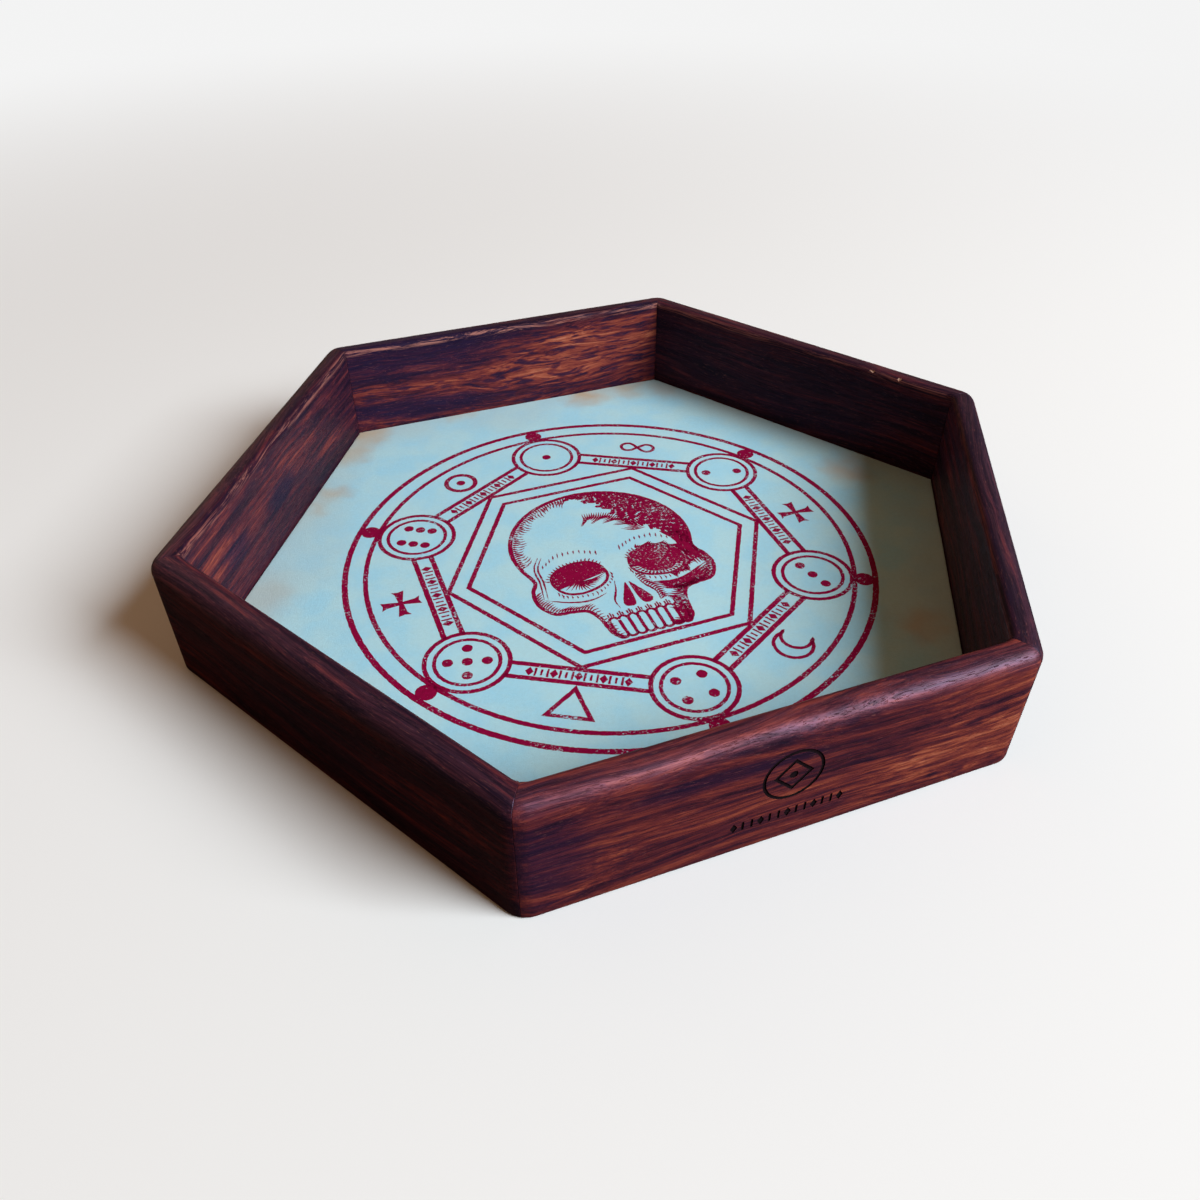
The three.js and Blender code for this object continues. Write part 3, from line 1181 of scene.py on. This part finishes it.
def mat_ink():
    """Crimson screen print, with worn specks where the mat shows through."""
    graph = new_graph("mat_ink")
    place = graph.millimetres()
    nap = weave(graph, place)
    fine = graph.noise(place, (1.1, 1.1, 0), detail=5, roughness=0.75)
    broad = graph.noise(place, (0.09, 0.09, 0))
    worn = graph.step(fine + broad * 0.35, 0.76, 0.84)
    crimson = graph.mix(graph.step(nap, 0.4, 1.1), colour(120, 0, 44), colour(152, 0, 62))
    tone = graph.mix(worn * 0.85, crimson, cloth_tone(graph, place))
    return graph.finish(
        bump=nap, depth=0.1 * MM, Base_Color=tone, Roughness=0.85, Specular_IOR_Level=0.08
    )


def plywood():
    """Thin birch plywood: pale, with faint long figure."""
    graph = new_graph("panel_plywood")
    place = graph.millimetres()
    bend = graph.noise(place, (0.01, 0.03, 0), output="Color")
    grain = graph.added(place, graph.scaled(bend, (0, 30, 0)))
    figure = graph.noise(grain, (0.012, 0.28, 0.3), detail=4, roughness=0.6)
    pores = graph.noise(grain, (0.2, 3.5, 3.5))
    tone = graph.ramp(figure, [(0.3, (188, 152, 108)), (0.7, (222, 192, 150))])
    tone = graph.tint(graph.step(pores, 0.62, 0.72, 0.0, 0.4), tone, 150, 112, 76)
    return graph.finish(bump=pores, depth=0.03 * MM, Base_Color=tone, Roughness=0.7)


def spline_wood():
    """Straight-grained pale hardwood, sawn and not oiled."""
    stops = [(0.3, (150, 108, 72)), (0.7, (190, 148, 104))]
    return fibrous_wood("spline_wood", (1.4, 1.4, 0.12), stops, 0.05, 0.75)


WALL_TONE = (0.9, 0.9, 0.9, 1)


def pale_floor():
    """A plain pale floor that runs out into the pale wall behind it.

    It sends little light back up, so the tray's shaded sides stay deep.
    """
    graph = new_graph("pale_floor")
    seen = graph.node("LightPath", {}, "Is Camera Ray")
    tone = graph.mix(seen, (0.12, 0.08, 0.07, 1), (0.94, 0.87, 0.87, 1))
    lit = graph.node("BsdfPrincipled", {"Base Color": tone, "Roughness": 0.9, "Specular IOR Level": 0.1})
    place = graph.node("TexCoord", {}, "Object")
    away = graph.node("VectorMath", {0: place}, "Value", operation="LENGTH")
    fade = graph.step(away, 1.6 * REACH, 7.0 * REACH) * seen
    wall = graph.node("Emission", {"Color": WALL_TONE})
    graph.node("OutputMaterial", {"Surface": graph.node("MixShader", {0: fade, 1: lit, 2: wall})})
    return graph.owner


# ---- assembly


def settle(piece, node=None):
    """Fixes a piece to the tray's one body, and has it stand for a CAD node if one is given."""
    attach(piece, "root")
    if node:
        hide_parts(node)


def make_rails():
    """The six rails, with their pockets, chips and the front rail's mark cut."""
    raw = raw_wood()
    burnt = burnt_wood()
    # Seed, glow, flame, rim, wear and patches of each rail, as rail_wood takes them. The rails in shade get
    # a low glow, which paints their shade into the wood, and the wear also paints a highlight along the
    # rim's inner edge.
    looks = [
        (1.3, 0.49, 0.3, 0.02, 0.3, [(-60, 18, 16, 14, 0.8), (-20, 28, 26, 3, 0.7), (50, 12, 30, 10, -0.9)]),
        (4.1, -0.27, 0.2, 0.05, 0.1, [(20, 30, 30, 6, 0.3)]),
        (7.9, -0.24, 0.2, 0.0, 0.25, [(-10, 12, 40, 6, 0.2)]),
        (11.2, 0.46, 1, 0.15, 0.65, [(36, 32, 44, 10, 1), (46, 11, 42, 5, 1), (-28, 22, 34, 12, -0.9)]),
        (15.7, -0.14, 0.3, 0.0, 0.38, [(4, 20, 13, 5, 0.7), (36, 20, 11, 4, 0.7), (48, 22, 20, 9, -0.5)]),
        (19.4, -0.12, 0.2, 0.03, 0.2, [(0, 20, 40, 9, 0.3)]),
    ]
    # Rail, place, apothem, height, length and radius of each chip, as chip_cutter takes them.
    chips = [
        (2, -31.3, INNER + 0.1 * MM, HEIGHT - 0.1 * MM, 1.5, 0.95),
        (2, -41.5, INNER + 0.1 * MM, HEIGHT - 0.1 * MM, 1.2, 0.92),
        (1, 41.0, OUTER - 0.9 * MM, HEIGHT - 0.15 * MM, 1.4, 0.8),
        (1, 15.0, OUTER - 0.5 * MM, HEIGHT - 0.5 * MM, 1.1, 0.8),
        (1, -14.0, OUTER - 0.9 * MM, HEIGHT - 0.15 * MM, 1.6, 0.8),
    ]
    for turn, side in enumerate(RAILS):
        rail = rail_mesh("oiled_rail_" + side, turn, rail_wood(turn, *looks[turn]))
        face_outwards(rail)
        middle = -math.pi / 2 + turn * SECTOR
        cutters = [slot_cutter(middle + end, raw) for end in (-MITRE, MITRE)]
        cutters += [chip_cutter(*chip, raw) for chip in chips if chip[0] == turn]
        if turn == 0:
            cutters.append(mark_cutter(burnt))
        cut(rail, cutters)
        shade(rail, 32)
        settle(rail, "rail_" + side)


def make_mat():
    mat = mat_mesh(mat_cloth())
    face_outwards(mat)
    shade(mat, 40)
    settle(mat, "mat")


def make_print():
    """The print, as thin layers of ink that lie in the mat's upper face."""
    ink_material = mat_ink()
    layers = {
        "print_rings": draw_rings,
        "print_medallions": draw_medallions,
        "print_bars": draw_bars,
        "print_hexagons": draw_hexagons,
        "print_symbols": draw_symbols,
        "print_skull": draw_skull,
    }
    for name, draw in layers.items():
        ink = Drawing(roughness=0.16)
        draw(ink)
        settle(ink.build(name, on_mat, ink_material))


def dress_cad_nodes():
    """Materials for the two kinds of piece that keep their CAD meshes."""
    looks = {"base_panel": plywood(), "spline": spline_wood()}
    for name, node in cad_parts.items():
        for start, material in looks.items():
            if name.startswith(start):
                node.material_slots[0].material = material


# ---- stage, light and camera


def make_floor():
    size = 12 * REACH
    corners = [(-size, -size, 0), (size, -size, 0), (size, size, 0), (-size, size, 0)]
    floor = new_object("floor", corners, [(0, 1, 2, 3)], pale_floor())


LIGHT_DISTANCE = 3.0


def area_light(name, direction, size, energy, tint):
    """A square soft light that shines at the middle of the tray's foot."""
    data = bpy.data.lights.new(name, "AREA")
    data.size = size
    data.energy = energy
    data.color = tint
    light = placed(name, data)
    way = Vector(direction).normalized()
    light.location = way * LIGHT_DISTANCE
    light.rotation_euler = way.to_track_quat("Z", "Y").to_euler()


def make_world():
    """A dim room that is brighter overhead and behind. The camera sees it as a plain pale wall."""
    scene = bpy.context.scene
    scene.world = bpy.data.worlds.new("studio")
    graph = Graph(scene.world)
    way = graph.node("TexCoord", {}, "Generated")
    behind = graph.dot(way, (-0.3, 0.75, 0.6))
    room = graph.mix(graph.step(behind, -0.3, 0.9), (0.060, 0.032, 0.015, 1), (0.25, 0.155, 0.085, 1))
    seen = graph.node("LightPath", {}, "Is Camera Ray")
    tone = graph.mix(seen, room, WALL_TONE)
    shine = graph.node("Background", {"Color": tone, "Strength": 1.0})
    graph.node("OutputWorld", {"Surface": shine})


def make_light():
    """A strong window light from the front right, a weak warm one from behind, and the room."""
    area_light("window", (0.95, -0.90, 1.0), 1.5, 140, (0.82, 0.96, 1.0))
    area_light("fill", (-0.5, 1.0, 0.45), 1.6, 3, (1.0, 0.86, 0.60))
    make_world()
    bpy.context.scene.view_settings.view_transform = "Standard"


def make_camera():
    """A wide lens close to the tray, from the front left and above."""
    azimuth = math.radians(-20.72)
    elevation = math.radians(39.54)
    roll = math.radians(-0.2)
    distance = 1.857 * REACH
    target = Vector((-0.1926 * REACH, -0.4402 * REACH, HEIGHT))
    flat = math.cos(elevation)
    back = Vector((math.sin(azimuth) * flat, -math.cos(azimuth) * flat, math.sin(elevation)))
    data = bpy.data.cameras.new("camera")
    data.sensor_width = 36
    data.lens = 29.42
    data.clip_start = 0.01
    camera = placed("camera", data)
    camera.location = target + back * distance
    camera.rotation_mode = "QUATERNION"
    camera.rotation_quaternion = back.to_track_quat("Z", "Y") @ Quaternion((0, 0, 1), roll)
    bpy.context.scene.camera = camera


make_rails()
make_mat()
make_print()
dress_cad_nodes()
make_floor()
make_light()
make_camera()
